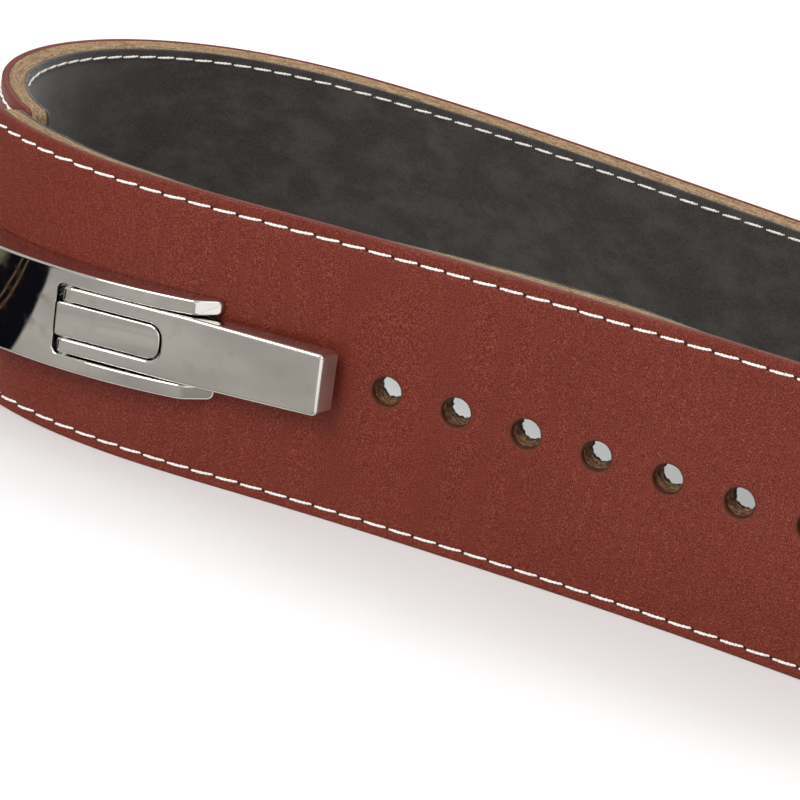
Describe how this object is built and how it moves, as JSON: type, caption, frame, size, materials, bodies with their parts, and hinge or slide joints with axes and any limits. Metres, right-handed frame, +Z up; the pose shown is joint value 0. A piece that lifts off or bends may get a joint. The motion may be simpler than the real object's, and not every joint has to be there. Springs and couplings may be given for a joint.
{
  "type": "weightlifting belt",
  "caption": "Red-brown laminated leather weightlifting belt closed in a loop, with punched holes along the front and a polished lever buckle",
  "frame": {"origin": "middle of the belt's footprint, on the floor that its lower cut edge stands on", "axes": "+X runs along the front, the way the lever points; -Y is out of the front, where the lever and the holes are; +Z is up, across the strap's width"},
  "size_m": [0.4518, 0.2112, 0.102],
  "materials": {
    "red_leather": "smooth red-brown grain leather, satin",
    "tan_leather": "tan leather with raw cut edges",
    "dark_suede": "dark napped suede",
    "chrome": "polished chrome plating",
    "steel": "plain plated steel"
  },
  "bodies": {
    "belt": {"face_leather": "red_leather", "core_leather": "tan_leather", "suede_lining": "dark_suede", "buckle_frame": "chrome", "base_plate": "steel", "centre_pad": "chrome", "hinge_pin": "steel", "screw_1": "steel", "screw_2": "steel"},
    "lever": {"lever_handle": "chrome"}
  },
  "joints": [
    {"name": "lever_hinge", "type": "hinge", "parent": "belt", "child": "lever", "pos_m": [-0.14286, -0.10012, 0.04679], "axis": [0.0453, -0.0013, -0.999], "range_deg": [0, 100]}
  ]
}
